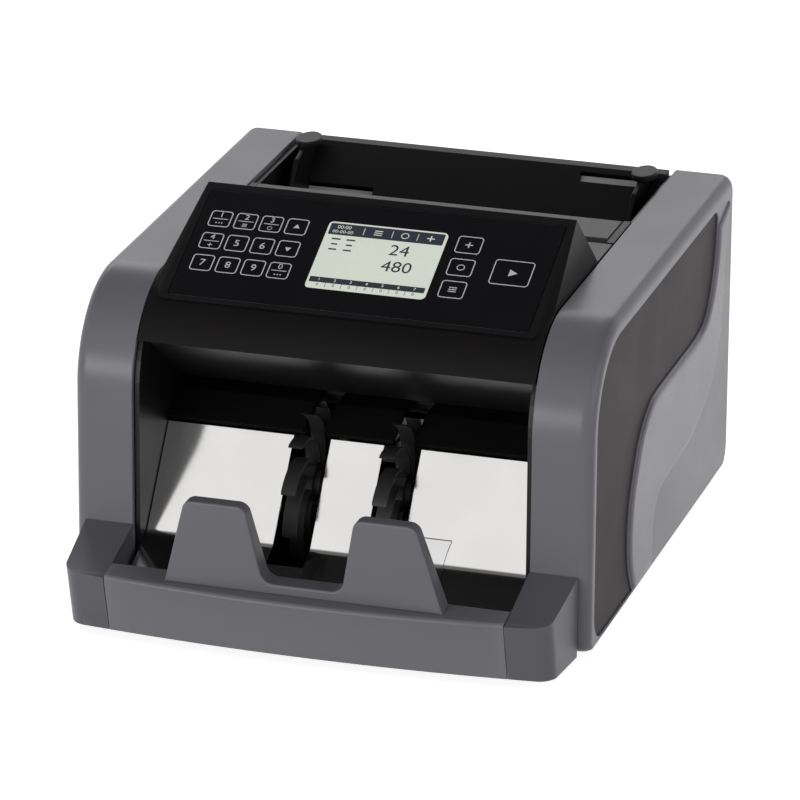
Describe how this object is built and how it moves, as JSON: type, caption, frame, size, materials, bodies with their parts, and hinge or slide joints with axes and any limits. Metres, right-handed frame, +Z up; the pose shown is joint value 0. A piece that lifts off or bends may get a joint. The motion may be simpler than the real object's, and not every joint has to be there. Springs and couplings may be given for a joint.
{
  "type": "banknote counter",
  "caption": "Desktop banknote counter with a sloping console, a hopper with sliding note guides, bladed stacker wheels, a slotted steel stacker plate and finned front tray.",
  "frame": {"origin": "on the floor under the middle of the bounding box", "axes": "+X to the right as seen by the user at the front, +Y to the back, +Z up"},
  "size_m": [0.2462, 0.306, 0.1789],
  "materials": {
    "housing_grey": "fine satin grey plastic",
    "cap_grey": "darker satin grey plastic",
    "insert_grey": "dark warm grey plastic",
    "satin_black": "satin black plastic",
    "matt_black": "matt black plastic",
    "black_steel": "matt black paint on steel",
    "gloss_black": "glossy black film",
    "display_glass": "clear window over a lit display",
    "polished_steel": "mirror polished",
    "plain_steel": "plain turned",
    "rubber": "matt",
    "feed_rubber": "matt, ground",
    "clear_plastic": "clear flexible sheet",
    "board_green": "coated circuit board",
    "gear_white": "natural white plastic"
  },
  "bodies": {
    "casing": {"base_pan": "matt_black", "console_board": "board_green", "console_panel": "gloss_black", "display_window": "display_glass", "drive_belt": "rubber", "end_cap_left": "cap_grey", "end_cap_right": "cap_grey", "foot_front_left": "rubber", "foot_front_right": "rubber", "foot_rear_left": "rubber", "foot_rear_right": "rubber", "frame_plate_left": "black_steel", "frame_plate_right": "black_steel", "front_tray": "housing_grey", "front_visor": "satin_black", "hopper_backrest": "matt_black", "hopper_lip": "housing_grey", "lcd_module": "plain_steel", "lower_guide": "matt_black", "main_board": "board_green", "main_motor": "plain_steel", "note_stop_left": "clear_plastic", "note_stop_right": "clear_plastic", "pickup_belt": "rubber", "power_inlet": "satin_black", "power_supply": "board_green", "power_switch": "satin_black", "rear_panel": "matt_black", "side_housing_left": "housing_grey", "side_housing_right": "housing_grey", "side_insert_left": "insert_grey", "side_insert_right": "insert_grey", "stacker_belt": "rubber", "stacker_plate": "polished_steel", "top_deck": "housing_grey", "upper_guide": "matt_black"},
    "left_guide": {"hopper_guide_left": "satin_black", "guide_rack_left": "gear_white"},
    "right_guide": {"hopper_guide_right": "satin_black", "guide_rack_right": "gear_white"},
    "pinion": {"guide_pinion": "gear_white"},
    "feed": {"feed_shaft": "plain_steel", "feed_roller_left": "feed_rubber", "feed_roller_right": "feed_rubber", "feed_pulley": "gear_white"},
    "pickup": {"pickup_shaft": "plain_steel", "pickup_roller_left": "feed_rubber", "pickup_roller_right": "feed_rubber"},
    "transport": {"transport_shaft": "feed_rubber"},
    "pinch": {"pinch_shaft": "plain_steel"},
    "stacker": {"stacker_shaft": "plain_steel", "stacker_wheel_left": "rubber", "stacker_wheel_right": "rubber"},
    "motor_rotor": {"motor_pulley": "gear_white"},
    "retard": {"retard_bracket": "matt_black"},
    "retard_left": {"retard_roller_left": "feed_rubber"},
    "retard_right": {"retard_roller_right": "feed_rubber"},
    "knob": {"gap_knob": "satin_black"},
    "door": {"rear_door": "matt_black"},
    "rocker": {"switch_rocker": "gloss_black"}
  },
  "joints": [
    {"name": "feed_spin", "type": "hinge", "parent": "casing", "child": "feed", "pos_m": [0, 0.05158, 0.0726], "axis": [1, 0, 0], "continuous": true},
    {"name": "pickup_spin", "type": "hinge", "parent": "casing", "child": "pickup", "pos_m": [0, 0.11925, 0.11307], "axis": [1, 0, 0], "continuous": true},
    {"name": "transport_spin", "type": "hinge", "parent": "casing", "child": "transport", "pos_m": [0, -0.00942, 0.0789], "axis": [1, 0, 0], "continuous": true},
    {"name": "pinch_spin", "type": "hinge", "parent": "casing", "child": "pinch", "pos_m": [0, -0.00942, 0.0984], "axis": [1, 0, 0], "continuous": true},
    {"name": "stacker_spin", "type": "hinge", "parent": "casing", "child": "stacker", "pos_m": [0, -0.0644, 0.057], "axis": [1, 0, 0], "continuous": true},
    {"name": "motor_spin", "type": "hinge", "parent": "casing", "child": "motor_rotor", "pos_m": [0, 0.0156, 0.045], "axis": [1, 0, 0], "continuous": true},
    {"name": "left_guide_slide", "type": "slide", "parent": "casing", "child": "left_guide", "axis": [1, 0, 0], "range_m": [0, 0.032]},
    {"name": "right_guide_slide", "type": "slide", "parent": "casing", "child": "right_guide", "axis": [-1, 0, 0], "range_m": [0, 0.032]},
    {"name": "pinion_turn", "type": "hinge", "parent": "casing", "child": "pinion", "pos_m": [0, 0.13093, 0.13849], "axis": [0, -0.7514, 0.6599], "range_deg": [0, 255]},
    {"name": "knob_turn", "type": "hinge", "parent": "casing", "child": "knob", "pos_m": [0, 0.0226, 0.155], "axis": [0, 0, 1], "range_deg": [-360, 360]},
    {"name": "retard_slide", "type": "slide", "parent": "casing", "child": "retard", "axis": [0, 0, 1], "range_m": [-0.0005, 0.0005]},
    {"name": "retard_left_spin", "type": "hinge", "parent": "retard", "child": "retard_left", "pos_m": [-0.022, 0.05458, 0.10004], "axis": [1, 0, 0], "continuous": true},
    {"name": "retard_right_spin", "type": "hinge", "parent": "retard", "child": "retard_right", "pos_m": [0.022, 0.05458, 0.10004], "axis": [1, 0, 0], "continuous": true},
    {"name": "door_hinge", "type": "hinge", "parent": "casing", "child": "door", "pos_m": [0, 0.14365, 0.0542], "axis": [-1, 0, 0], "range_deg": [0, 75]},
    {"name": "switch_turn", "type": "hinge", "parent": "casing", "child": "rocker", "pos_m": [0.029, 0.14145, 0.03], "axis": [-1, 0, 0], "range_deg": [0, 20]}
  ],
  "couplings": [
    {"joint": "pickup_spin", "follows": "feed_spin", "ratio": 1.2222},
    {"joint": "transport_spin", "follows": "feed_spin", "ratio": 1.6364},
    {"joint": "pinch_spin", "follows": "feed_spin", "ratio": -2.25},
    {"joint": "stacker_spin", "follows": "feed_spin", "ratio": 0.78571},
    {"joint": "motor_spin", "follows": "feed_spin", "ratio": 1.5714},
    {"joint": "right_guide_slide", "follows": "left_guide_slide", "ratio": 1},
    {"joint": "pinion_turn", "follows": "left_guide_slide", "rad_per_m": 138.89},
    {"joint": "knob_turn", "follows": "retard_slide", "rad_per_m": 12566}
  ]
}
